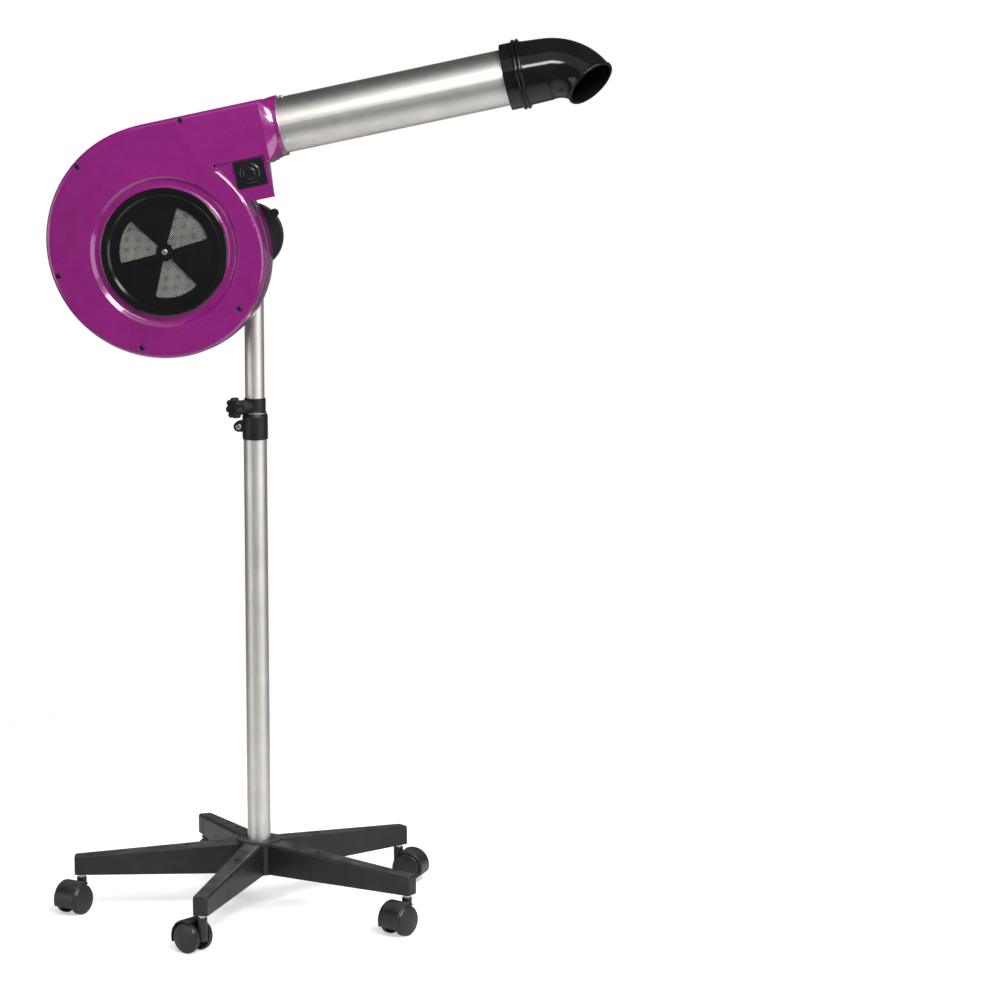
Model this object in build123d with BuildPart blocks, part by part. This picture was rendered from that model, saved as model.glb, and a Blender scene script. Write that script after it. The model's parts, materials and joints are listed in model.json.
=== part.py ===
from build123d import *
import os
from math import asin, cos, degrees, radians, sin, sqrt

# Stand blow dryer: a two-shell centrifugal blower on a telescopic column with a five-leg wheeled base.
# Row frame: origin on the floor under the column, +Z up, +X along the outlet tube, intake facing -Y.

os.makedirs("parts", exist_ok=True)

# ---- driving dimensions (mm, degrees) ----------------------------------------------------------

# Base
leg_count = 5
leg_pitch = 360 / leg_count
first_leg_angle = 8.4 + 36
leg_tip_radius = 306.5
leg_root_radius = 18.0
leg_bottom = 63.0
leg_root_width, leg_root_height = 35.0, 55.0
leg_tip_width, leg_tip_height = 25.0, 32.0
leg_wall = 3.5
plug_radius_along_leg = 120.0
hub_radius, hub_flange_radius = 35.0, 38.5
hub_flange_bottom, hub_top = 112.0, 119.5

# Casters
stem_circle_radius = 295.0
stem_radius = 5.5
wheel_radius = 25.0
wheel_inner_face, wheel_rim_face, wheel_dome = 9.0, 21.5, 24.0
caster_trail = 20.0
hood_inner_radius, hood_outer_radius = 26.5, 29.5
hood_half_width = 21.0
web_half_width = 8.2
hood_top = 57.5
hood_start, hood_stop = -20.0, 112.0
trail_angles = (-13.0, 60.0, 242.0, 147.0, 235.0)

# Column
lower_tube_radius, upper_tube_radius = 19.05, 15.875
tube_wall = 1.5
lower_tube_bottom, lower_tube_top = 70.0, 832.0
upper_tube_bottom, upper_tube_top = 420.0, 1060.0
collar_bottom, collar_top = 788.0, 856.0
collar_low_radius, collar_high_radius = 20.9, 17.7
boss_radius, boss_face = 12.0, 31.0
knob_height = 842.0
knob_angle = 224.0
knob_face, knob_thickness = 47.5, 12.0
pinch_height, pinch_offset = 809.5, 25.7
ear_radius, ear_half = 8.5, 11.0
running_gap = 0.08

# Head: the tilt axis is at hinge_height over the column; the fan axis lies beside it
head_tilt = 12.0
fan_x, fan_z = -120.5, 1104.0
mid_y = -94.5
hinge_height = 1123.5
half_depth = 52.5
shell_wall = 3.0
rim_radius = 6.0
seam_lip, seam_lip_half = 1.2, 2.5

# Volute outline: four arcs whose centres share lines, so each runs smoothly into the next
outlet_top, outlet_bottom, outlet_reach = 203.5, 104.0, 197.0
left_reach, bottom_reach, right_reach = 187.5, 169.5, 156.5
arc_height = 18.5
tongue_radius = 190.5

# Outlet
duct_v = 157.0
horn_end, collar_end = 214.0, 220.5
collar_radius, collar_bore = 48.5, 44.55
duct_radius, duct_wall = 44.45, 1.6
duct_start, duct_end = 203.0, 620.0
duct_screw_u = 228.5

# Nozzle
sleeve_start = 585.0
sleeve_radius, bead_radius, sleeve_length = 52.5, 56.0, 32.0
bush_length = 29.2
bend_start, bend_drop, bend_radius, bend_angle, lip_length = 66.0, 1.0, 71.4, 60.0, 6.3
throat_radius, mouth_radius = 49.2, 41.5
nozzle_wall = 3.0
nozzle_turn = 28.0

# Intake and fan
inlet_hole_radius = 90.3
ring_outer_radius = 102.0
grille_radius = 87.8
petal_inner, petal_outer, petal_half_angle = 14.0, 73.0, 28.5
petal_angles = (34.0, 154.0, 274.0)
impeller_radius, blade_inner_radius, blade_count = 118.0, 97.0, 32
motor_radius, cover_radius = 46.0, 58.0
shaft_radius = 5.0

# Switch, in head coordinates
switch_u, switch_v = 161.5, 94.0
block_face = 49.5
block_right, block_bottom = 192.0, 50.0
block_lean_low, block_lean_high = 8.0, 3.0
ledge_right, ledge_top = 190.0, 117.5

# ---- shared planes and helpers -----------------------------------------------------------------

tilt_cos, tilt_sin = cos(radians(head_tilt)), sin(radians(head_tilt))
head = Plane(origin=(fan_x, mid_y, fan_z), x_dir=(tilt_cos, 0, tilt_sin), z_dir=(0, -1, 0))
duct_dir = Vector(tilt_cos, 0, tilt_sin)


def head_point(u, v, depth=0.0):
    """Row-frame point for head coordinates: u along the outlet, v across it, depth to the intake."""
    return head.from_local_coords(Vector(u, v, depth))


def duct_plane(u):
    """Plane square to the outlet axis at u; its x points to the intake side."""
    return Plane(origin=head_point(u, duct_v), x_dir=(0, -1, 0), z_dir=duct_dir)


def tilt_plane(y):
    """Plane square to the tilt axis, facing the rear."""
    return Plane(origin=(0, y, hinge_height), x_dir=(1, 0, 0), z_dir=(0, 1, 0))


def turned(radius, angle):
    """Point at an angle on a circle about the origin of a sketch."""
    return (radius * cos(radians(angle)), radius * sin(radians(angle)))


def lobed_profile(outer_radius, lobes, lobe_radius):
    """Star-knob outline: a disc with round lobes standing out of it."""
    with BuildSketch() as profile:
        Circle(outer_radius - lobe_radius)
        with PolarLocations(outer_radius - lobe_radius, lobes):
            Circle(lobe_radius)
    return profile.sketch


def sector_profile(inner_radius, outer_radius, start, stop):
    """Piece of a ring between two angles less than 180 degrees apart."""
    reach = outer_radius * 4
    with BuildSketch() as profile:
        Circle(outer_radius)
        if inner_radius > 0:
            Circle(inner_radius, mode=Mode.SUBTRACT)
        with BuildSketch(mode=Mode.INTERSECT):
            with BuildLine():
                Polyline((0, 0), turned(reach, start), turned(reach, (start + stop) / 2),
                         turned(reach, stop), close=True)
            make_face()
    return profile.sketch


# Hinge position in head coordinates
hinge_local = head.to_local_coords(Vector(0, mid_y, hinge_height))
hinge_uv = (hinge_local.X, hinge_local.Y)

# ---- base --------------------------------------------------------------------------------------


def leg_section(angle, radius, width, height, base, corner):
    """Upright leg section with rounded top corners, facing outwards at a radius."""
    out = Vector(cos(radians(angle)), sin(radians(angle)), 0)
    side = Vector(-out.Y, out.X, 0)
    plane = Plane(origin=out * radius + Vector(0, 0, base), x_dir=side, z_dir=out)
    with BuildSketch(plane) as section:
        with Locations((0, height / 2)):
            Rectangle(width, height)
        fillet(section.vertices().group_by(Axis.Y)[-1], corner)
    return section.sketch


leg_angles = [first_leg_angle + leg_pitch * k for k in range(leg_count)]

with BuildPart() as star_base:
    for leg_angle in leg_angles:
        root = leg_section(leg_angle, leg_root_radius, leg_root_width, leg_root_height, leg_bottom, 6)
        tip = leg_section(leg_angle, leg_tip_radius, leg_tip_width, leg_tip_height, leg_bottom, 5)
        loft([root.face(), tip.face()])
    with BuildSketch(Plane.XY.offset(leg_bottom - 1)):
        Circle(hub_radius)
    extrude(amount=hub_top - leg_bottom)
    with BuildSketch(Plane.XY.offset(hub_flange_bottom)):
        Circle(hub_flange_radius)
    extrude(amount=hub_top - hub_flange_bottom)
    fillet(star_base.edges().filter_by(GeomType.CIRCLE).sort_by(Axis.Z)[-1], 2.5)
    tip_corners = star_base.edges().filter_by(Axis.Z).filter_by(
        lambda edge: Vector(edge.center().X, edge.center().Y, 0).length > leg_tip_radius - 3)
    fillet(tip_corners, 4)
    # Hollow underside of each leg, left solid around the caster socket
    for leg_angle in leg_angles:
        root = leg_section(leg_angle, hub_radius + 6, leg_root_width - 2 * leg_wall - 2,
                           leg_root_height - leg_wall - 2, leg_bottom - 1, 3)
        tip = leg_section(leg_angle, stem_circle_radius - 14, leg_tip_width - 2 * leg_wall + 1,
                          leg_tip_height - leg_wall + 2, leg_bottom - 1, 3)
        loft([root.face(), tip.face()], mode=Mode.SUBTRACT)
    # Caster sockets, plug holes, column socket and base-bolt hole
    with BuildSketch(Plane.XY.offset(leg_bottom - 1)):
        with PolarLocations(stem_circle_radius, leg_count, first_leg_angle):
            Circle(stem_radius + 0.05)
    extrude(amount=25, mode=Mode.SUBTRACT)
    with BuildSketch(Plane.XY.offset(leg_bottom + 36)):
        with PolarLocations(plug_radius_along_leg, leg_count, first_leg_angle):
            Circle(4.05)
    extrude(amount=20, mode=Mode.SUBTRACT)
    with BuildSketch(Plane.XY.offset(lower_tube_bottom)):
        Circle(lower_tube_radius + 0.1)
    extrude(amount=60, mode=Mode.SUBTRACT)
    with BuildSketch(Plane.XY.offset(leg_bottom - 2)):
        Circle(5.1)
    extrude(amount=20, mode=Mode.SUBTRACT)
star_base.part.label = "star_base"
export_step(star_base.part, "parts/star_base.step")

with BuildPart() as leg_plugs:
    with BuildSketch(Plane.XY.offset(leg_bottom + 38)):
        with PolarLocations(plug_radius_along_leg, leg_count, first_leg_angle):
            Circle(4)
    extrude(amount=9.6)
    fillet(leg_plugs.edges().filter_by(GeomType.CIRCLE).group_by(Axis.Z)[-1], 0.6)
leg_plugs.part.label = "leg_plugs"
export_step(leg_plugs.part, "parts/leg_plugs.step")

with BuildPart() as base_bolt:
    with BuildSketch(Plane.XY.offset(leg_bottom - 9)):
        RegularPolygon(8.5, 6)
    extrude(amount=6)
    with BuildSketch(Plane.XY.offset(leg_bottom - 3.5)):
        Circle(14)
    extrude(amount=2.5)
    with BuildSketch(Plane.XY.offset(leg_bottom - 3)):
        Circle(5)
    extrude(amount=33)
base_bolt.part.label = "base_bolt"
export_step(base_bolt.part, "parts/base_bolt.step")

with BuildPart() as tube_foot:
    with BuildSketch(Plane.XY.offset(lower_tube_bottom)):
        Circle(lower_tube_radius - tube_wall - 0.05)
        Circle(5.02, mode=Mode.SUBTRACT)
    extrude(amount=26)
tube_foot.part.label = "tube_foot"
export_step(tube_foot.part, "parts/tube_foot.step")

with BuildPart() as caster_stems:
    with BuildSketch(Plane.XY.offset(32)):
        with PolarLocations(stem_circle_radius, leg_count, first_leg_angle):
            Circle(stem_radius)
    extrude(amount=leg_bottom + 23.5 - 32)
    with BuildSketch(Plane.XY.offset(leg_bottom - 2)):
        with PolarLocations(stem_circle_radius, leg_count, first_leg_angle):
            Circle(8)
    extrude(amount=2)
caster_stems.part.label = "caster_stems"
export_step(caster_stems.part, "parts/caster_stems.step")

# ---- casters -----------------------------------------------------------------------------------


def caster_plane(index):
    """Plane across a caster's axle: x trails behind the stem, y is up, z runs along the axle."""
    leg = radians(leg_angles[index])
    trail = radians(trail_angles[index])
    centre = (stem_circle_radius * cos(leg) + caster_trail * cos(trail),
              stem_circle_radius * sin(leg) + caster_trail * sin(trail), wheel_radius)
    return Plane(origin=centre, x_dir=(cos(trail), sin(trail), 0), z_dir=(sin(trail), -cos(trail), 0))


def caster_hood(index):
    """Swivelling hood: a web between the wheels, a fender over them, a neck, and the pressed-in axle."""
    plane = caster_plane(index)
    neck = Plane(origin=plane.from_local_coords(Vector(-caster_trail, 0, 0)), z_dir=(0, 0, 1))
    with BuildPart() as hood:
        with BuildSketch(plane.offset(-hood_half_width)):
            add(sector_profile(hood_inner_radius, hood_outer_radius, hood_start, hood_stop))
        extrude(amount=2 * hood_half_width)
        fillet(hood.edges().filter_by(GeomType.CIRCLE).filter_by(
            lambda edge: abs(edge.radius - hood_outer_radius) < 0.01), 2.2)
        with BuildSketch(plane.offset(-web_half_width)):
            add(sector_profile(0, hood_outer_radius - 1, hood_start, hood_stop))
            Circle(15)
        extrude(amount=2 * web_half_width)
        with BuildSketch(neck.offset(-wheel_radius + 20)):
            Circle(web_half_width)
        extrude(amount=hood_top - 20)
        with BuildSketch(neck.offset(-wheel_radius + 29)):
            Circle(stem_radius + running_gap)
        extrude(amount=hood_top, mode=Mode.SUBTRACT)
        with BuildSketch(plane.offset(-web_half_width)):
            Circle(3.05)
        extrude(amount=2 * web_half_width, mode=Mode.SUBTRACT)
        with BuildSketch(plane.offset(-wheel_rim_face + 1)):
            Circle(3)
        extrude(amount=2 * wheel_rim_face - 2)
    return hood.part


def caster_wheel(index, side):
    """One of the twin wheels, with a domed outer face and a blind axle bore."""
    plane = caster_plane(index)
    centre = plane.origin
    axle = plane.z_dir * side
    section = Plane(origin=centre, x_dir=(0, 0, 1), z_dir=axle.cross(Vector(0, 0, 1)) * -1)
    rise = wheel_dome - wheel_rim_face
    rim = wheel_radius - 2.5
    dome_radius = (rim ** 2 + rise ** 2) / (2 * rise)
    shoulder = (rim / 2, wheel_dome - dome_radius + sqrt(dome_radius ** 2 - (rim / 2) ** 2))
    bore = 3 + running_gap
    # Section coordinates: x is the radius, y runs outwards along the axle
    with BuildPart() as wheel:
        with BuildSketch(section):
            with BuildLine():
                Polyline((0, wheel_dome), (0, wheel_inner_face), (22, wheel_inner_face),
                         (22, wheel_inner_face + 2), (24, wheel_inner_face + 2),
                         (wheel_radius, wheel_inner_face + 3), (wheel_radius, wheel_rim_face - 3),
                         (rim, wheel_rim_face))
                ThreePointArc((rim, wheel_rim_face), shoulder, (0, wheel_dome))
            make_face()
        revolve(axis=Axis(centre, axle))
        with BuildSketch(Plane(origin=centre + axle * (wheel_inner_face - 1), z_dir=axle)):
            Circle(bore)
        extrude(amount=wheel_rim_face - wheel_inner_face + 0.5, mode=Mode.SUBTRACT)
    return wheel.part


for number in range(1, leg_count + 1):
    hood_part = caster_hood(number - 1)
    hood_part.label = f"caster_{number}_hood"
    export_step(hood_part, f"parts/caster_{number}_hood.step")
    for side_name, side in (("left", -1), ("right", 1)):
        wheel_part = caster_wheel(number - 1, side)
        wheel_part.label = f"caster_{number}_wheel_{side_name}"
        export_step(wheel_part, f"parts/caster_{number}_wheel_{side_name}.step")

# ---- column ------------------------------------------------------------------------------------

with BuildPart() as lower_tube:
    with BuildSketch(Plane.XY.offset(lower_tube_bottom)):
        Circle(lower_tube_radius)
        Circle(lower_tube_radius - tube_wall, mode=Mode.SUBTRACT)
    extrude(amount=lower_tube_top - lower_tube_bottom)
lower_tube.part.label = "lower_tube"
export_step(lower_tube.part, "parts/lower_tube.step")

with BuildPart() as upper_tube:
    with BuildSketch(Plane.XY.offset(upper_tube_bottom)):
        Circle(upper_tube_radius)
        Circle(upper_tube_radius - tube_wall, mode=Mode.SUBTRACT)
    extrude(amount=upper_tube_top - upper_tube_bottom)
upper_tube.part.label = "upper_tube"
export_step(upper_tube.part, "parts/upper_tube.step")

tube_inner_radius = upper_tube_radius - tube_wall

with BuildPart() as glide_plug:
    with BuildSketch(Plane.XY.offset(upper_tube_bottom - 10)):
        Circle(lower_tube_radius - tube_wall - running_gap)
    extrude(amount=10)
    with BuildSketch(Plane.XY.offset(upper_tube_bottom)):
        Circle(tube_inner_radius - 0.05)
    extrude(amount=22)
    fillet(glide_plug.edges().sort_by(Axis.Z)[0], 2)
glide_plug.part.label = "glide_plug"
export_step(glide_plug.part, "parts/glide_plug.step")

spigot_groove = upper_tube_top + 25
with BuildPart() as top_spigot:
    with BuildSketch(Plane.XY.offset(upper_tube_top - 25)):
        Circle(tube_inner_radius - 0.05)
    extrude(amount=75)
    with BuildSketch(Plane.XY.offset(spigot_groove - 3.5)):
        Circle(tube_inner_radius + 1)
        Circle(11.5, mode=Mode.SUBTRACT)
    extrude(amount=7, mode=Mode.SUBTRACT)
top_spigot.part.label = "top_spigot"
export_step(top_spigot.part, "parts/top_spigot.step")

with BuildPart() as collar_bush:
    with BuildSketch(Plane.XY.offset(collar_bottom + 2)):
        Circle(lower_tube_radius - tube_wall - 0.05)
        Circle(upper_tube_radius + running_gap, mode=Mode.SUBTRACT)
    extrude(amount=lower_tube_top - collar_bottom - 2)
collar_bush.part.label = "collar_bush"
export_step(collar_bush.part, "parts/collar_bush.step")

knob_out = Vector(cos(radians(knob_angle)), sin(radians(knob_angle)), 0)


def knob_plane(distance):
    """Plane square to the clamp knob's stud at a distance from the column axis."""
    return Plane(origin=knob_out * distance + Vector(0, 0, knob_height), x_dir=(0, 0, 1), z_dir=knob_out)


def pinch_plane(y):
    """Plane square to the pinch bolt, facing the intake side."""
    return Plane(origin=(-pinch_offset, y, pinch_height), x_dir=(1, 0, 0), z_dir=(0, -1, 0))


with BuildPart() as clamp_collar:
    with BuildSketch(Plane.XZ):
        with BuildLine():
            Polyline((0, collar_bottom), (collar_low_radius - 1, collar_bottom),
                     (collar_low_radius, collar_bottom + 1), (collar_low_radius, collar_bottom + 38),
                     (collar_high_radius, collar_bottom + 47), (collar_high_radius, collar_top - 1),
                     (collar_high_radius - 1, collar_top), (0, collar_top), close=True)
        make_face()
    revolve(axis=Axis.Z)
    with BuildSketch(knob_plane(4)):
        Circle(boss_radius)
    extrude(amount=boss_face - 4)
    boss_edge = clamp_collar.edges().filter_by(GeomType.CIRCLE).sort_by(Axis((0, 0, 0), knob_out))[-1]
    fillet(boss_edge, 1.5)
    with BuildSketch(pinch_plane(ear_half)):
        Circle(ear_radius)
        with Locations((5, 0)):
            Rectangle(10, 2 * ear_radius)
    extrude(amount=2 * ear_half)
    with BuildSketch(Plane.XY.offset(collar_bottom)):
        Circle(lower_tube_radius + 0.05)
    extrude(amount=lower_tube_top - collar_bottom, mode=Mode.SUBTRACT)
    with BuildSketch(Plane.XY.offset(collar_bottom)):
        Circle(upper_tube_radius + running_gap)
    extrude(amount=collar_top - collar_bottom, mode=Mode.SUBTRACT)
    with BuildSketch(knob_plane(10)):
        Circle(4 + running_gap)
    extrude(amount=40, mode=Mode.SUBTRACT)
    with BuildSketch(pinch_plane(ear_half + 1)):
        Circle(2.6)
    extrude(amount=2 * ear_half + 2, mode=Mode.SUBTRACT)
    with BuildSketch(Plane.XY.offset(collar_bottom - 1)):
        with Locations((-28, 0)):
            Rectangle(24, 2)
    extrude(amount=34, mode=Mode.SUBTRACT)
clamp_collar.part.label = "clamp_collar"
export_step(clamp_collar.part, "parts/clamp_collar.step")

with BuildPart() as pinch_bolt:
    with BuildSketch(pinch_plane(-ear_half)):
        Circle(4.6)
    extrude(amount=3.4)
    fillet(pinch_bolt.edges().sort_by(Axis.Y)[0], 1.4)
    with BuildSketch(pinch_plane(-ear_half - 3.4)):
        Rectangle(0.9, 6)
        Rectangle(6, 0.9)
    extrude(amount=-1.4, mode=Mode.SUBTRACT)
    with BuildSketch(pinch_plane(ear_half - 1)):
        Circle(2.55)
    extrude(amount=2 * ear_half - 1)
pinch_bolt.part.label = "pinch_bolt"
export_step(pinch_bolt.part, "parts/pinch_bolt.step")

with BuildPart() as clamp_knob:
    with BuildSketch(knob_plane(knob_face - knob_thickness)):
        add(lobed_profile(17.3, 7, 5))
    extrude(amount=knob_thickness)
    fillet(clamp_knob.faces().sort_by(Axis((0, 0, 0), knob_out))[-1].edges(), 2.5)
    with BuildSketch(knob_plane(boss_face + 0.5)):
        Circle(9)
    extrude(amount=knob_face - knob_thickness - boss_face - 0.5)
    with BuildSketch(knob_plane(boss_face)):
        Circle(4.02)
    extrude(amount=knob_face - boss_face - 4, mode=Mode.SUBTRACT)
clamp_knob.part.label = "clamp_knob"
export_step(clamp_knob.part, "parts/clamp_knob.step")

with BuildPart() as clamp_stud:
    with BuildSketch(knob_plane(upper_tube_radius + 0.3)):
        Circle(4)
    extrude(amount=knob_face - 4 - upper_tube_radius - 0.3)
clamp_stud.part.label = "clamp_stud"
export_step(clamp_stud.part, "parts/clamp_stud.step")

# ---- tilt joint --------------------------------------------------------------------------------

hinge_disc_radius = 54.5
disc_rear = half_depth + 12
washer_front, washer_rear = disc_rear + 0.3, disc_rear + 1.8
bracket_front_y = mid_y + washer_rear
socket_radius = 22.0
socket_bottom = upper_tube_top + 0.5
bolt_radius = 6.0

with BuildPart() as hinge_disc:
    with BuildSketch(head.offset(-disc_rear)):
        with Locations(hinge_uv):
            Circle(hinge_disc_radius)
    extrude(amount=12)
    fillet(hinge_disc.edges(), 2.5)
    lug_uv = (hinge_uv[0] + turned(54, 31)[0], hinge_uv[1] + turned(54, 31)[1])
    with BuildSketch(head.offset(-disc_rear)):
        with Locations(lug_uv):
            Circle(7)
    extrude(amount=12)
    with BuildSketch(head.offset(-half_depth)):
        with Locations(hinge_uv):
            Circle(12)
    extrude(amount=-7.5, mode=Mode.SUBTRACT)
    with BuildSketch(head.offset(-half_depth)):
        with Locations(hinge_uv):
            Circle(bolt_radius + running_gap)
    extrude(amount=-20, mode=Mode.SUBTRACT)
    with BuildSketch(head.offset(-half_depth)):
        with Locations(hinge_uv):
            with PolarLocations(30, 3, 60):
                Circle(2.55)
    extrude(amount=-9, mode=Mode.SUBTRACT)
hinge_disc.part.label = "hinge_disc"
export_step(hinge_disc.part, "parts/hinge_disc.step")

with BuildPart() as hinge_screws:
    with BuildSketch(head.offset(-half_depth + shell_wall)):
        with Locations(hinge_uv):
            with PolarLocations(30, 3, 60):
                Circle(4.5)
    extrude(amount=2.5)
    with BuildSketch(head.offset(-half_depth + shell_wall)):
        with Locations(hinge_uv):
            with PolarLocations(30, 3, 60):
                Circle(2.5)
    extrude(amount=-shell_wall - 8)
hinge_screws.part.label = "hinge_screws"
export_step(hinge_screws.part, "parts/hinge_screws.step")

with BuildPart() as friction_washer:
    with BuildSketch(tilt_plane(mid_y + washer_front)):
        Circle(28)
        Circle(bolt_radius + 0.05, mode=Mode.SUBTRACT)
    extrude(amount=washer_rear - washer_front)
friction_washer.part.label = "friction_washer"
export_step(friction_washer.part, "parts/friction_washer.step")

with BuildPart() as tilt_bracket:
    with BuildSketch(Plane.XY.offset(socket_bottom)):
        Circle(socket_radius)
    extrude(amount=hinge_height + 28 - socket_bottom)
    fillet(tilt_bracket.edges().sort_by(Axis.Z)[-1], 5)
    with BuildSketch(tilt_plane(bracket_front_y)):
        Circle(44)
    extrude(amount=9)
    with BuildSketch(tilt_plane(0)):
        Circle(15)
    extrude(amount=26)
    with BuildSketch(Plane.XY.offset(socket_bottom - 1)):
        Circle(tube_inner_radius - 0.05 + running_gap)
    extrude(amount=52.5, mode=Mode.SUBTRACT)
    with BuildSketch(tilt_plane(bracket_front_y - 1)):
        Circle(bolt_radius + 0.05)
    extrude(amount=80, mode=Mode.SUBTRACT)
    with BuildSketch(Plane.YZ.offset(-socket_radius - 1)):
        with Locations((0, spigot_groove)):
            Circle(3.02)
    extrude(amount=2 * socket_radius + 2, mode=Mode.SUBTRACT)
tilt_bracket.part.label = "tilt_bracket"
export_step(tilt_bracket.part, "parts/tilt_bracket.step")

with BuildPart() as retaining_screws:
    with BuildSketch(Plane.YZ.offset(11.9)):
        with Locations((0, spigot_groove)):
            Circle(3)
    extrude(amount=9)
    mirror(about=Plane.YZ)
retaining_screws.part.label = "retaining_screws"
export_step(retaining_screws.part, "parts/retaining_screws.step")

with BuildPart() as tilt_bolt:
    with BuildSketch(tilt_plane(mid_y + half_depth + 0.8)):
        RegularPolygon(10, 6)
    extrude(amount=6.2)
    with BuildSketch(tilt_plane(mid_y + half_depth + 1)):
        Circle(bolt_radius)
    extrude(amount=82)
tilt_bolt.part.label = "tilt_bolt"
export_step(tilt_bolt.part, "parts/tilt_bolt.step")

with BuildPart() as tilt_knob:
    with BuildSketch(tilt_plane(26.5)):
        Circle(11)
    extrude(amount=6)
    with BuildSketch(tilt_plane(31)):
        add(lobed_profile(24, 7, 6.5))
    extrude(amount=17)
    fillet(tilt_knob.faces().sort_by(Axis.Y)[-1].edges(), 3)
    with BuildSketch(tilt_plane(26)):
        Circle(bolt_radius + running_gap)
    extrude(amount=16, mode=Mode.SUBTRACT)
tilt_knob.part.label = "tilt_knob"
export_step(tilt_knob.part, "parts/tilt_knob.step")

# ---- blower housing ----------------------------------------------------------------------------


def volute_profile(inset, reach=outlet_reach):
    """Spiral with its straight outlet, drawn inset from the outer wall, in head coordinates."""
    top_radius = outlet_top - arc_height - inset
    top_centre = (outlet_top - arc_height - left_reach, arc_height)
    bottom_radius = bottom_reach + arc_height - inset
    bottom_centre = (bottom_reach + arc_height - left_reach, arc_height)
    right_radius = right_reach - bottom_centre[0] - inset
    right_centre = (bottom_centre[0], right_reach - bottom_centre[0] - bottom_reach)
    tongue_centre = (right_reach - tongue_radius, right_centre[1])
    underside = outlet_bottom + inset
    tongue_sweep = degrees(asin((underside - tongue_centre[1]) / (tongue_radius - inset)))
    with BuildSketch() as profile:
        with BuildLine():
            crown = CenterArc(top_centre, top_radius, 90, 90)
            CenterArc(bottom_centre, bottom_radius, 180, 90)
            CenterArc(right_centre, right_radius, 270, 90)
            tongue = CenterArc(tongue_centre, tongue_radius - inset, 0, tongue_sweep)
            Polyline(tongue @ 1, (reach, underside), (reach, outlet_top - inset), crown @ 0)
        make_face()
    return profile.sketch


def casing(inset):
    """Whole housing volume, inset from its outside: volute, horn from square to round, and collar."""
    depth = half_depth - inset
    with BuildPart() as body:
        with BuildSketch(head.offset(-depth)):
            add(volute_profile(inset))
        extrude(amount=2 * depth)
        rim_edges = body.faces().filter_by(Axis.Y).edges().filter_by(
            lambda edge: head.to_local_coords(edge.center()).X < outlet_reach - 0.5)
        fillet(rim_edges, rim_radius - inset)
        with BuildSketch(duct_plane(outlet_reach)):
            with Locations((0, duct_v - (outlet_top + outlet_bottom) / 2)):
                RectangleRounded(2 * depth, outlet_top - outlet_bottom - 2 * inset, rim_radius - inset)
        # Inside, the round part starts further back, to take the end of the outlet tube
        round_start = horn_end if inset == 0 else duct_start - 1
        round_stop = collar_end if inset == 0 else collar_end + 1
        with BuildSketch(duct_plane(round_start)):
            Circle(collar_radius if inset == 0 else collar_bore)
        loft()
        with BuildSketch(duct_plane(round_start)):
            Circle(collar_radius if inset == 0 else collar_bore)
        extrude(amount=round_stop - round_start)
    return body.part


# Shell screws sit in bosses just inside the rim
boss_uv = [turned(193, 124), turned(176, 181), turned(158, 244), turned(149, 311), (70, 198)]
screw_seat = half_depth - 1.0
tongue_centre_uv = (right_reach - tongue_radius, right_reach - bottom_reach - (bottom_reach + arc_height - left_reach))


def screw_bosses(reach):
    """Bosses from the seam to the face, trimmed to stay inside the casing wall."""
    with BuildPart() as bosses:
        with BuildSketch(head):
            with Locations(*boss_uv):
                Circle(5.5)
        extrude(amount=reach)
        add(casing(1.5), mode=Mode.INTERSECT)
    return bosses.part


def block_volume(inset, left, top, start_depth, stop_depth):
    """Switch block between the spiral and the outlet; its outer side draws in towards the rear."""
    with BuildPart() as block:
        for depth in (start_depth, stop_depth):
            lean = (block_face - depth) / block_face
            low_right = (block_right - inset - block_lean_low * lean, block_bottom + inset)
            high_right = (block_right - inset - block_lean_high * lean, top)
            with BuildSketch(head.offset(depth)):
                with BuildLine():
                    Polyline((left, block_bottom + inset), low_right, high_right, (left, top), close=True)
                make_face()
        loft(ruled=True)
        if inset > 0:
            with BuildSketch(head.offset(start_depth)):
                with Locations(tongue_centre_uv):
                    Circle(tongue_radius + 0.5)
            extrude(amount=stop_depth - start_depth, mode=Mode.SUBTRACT)
    return block.part


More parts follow.
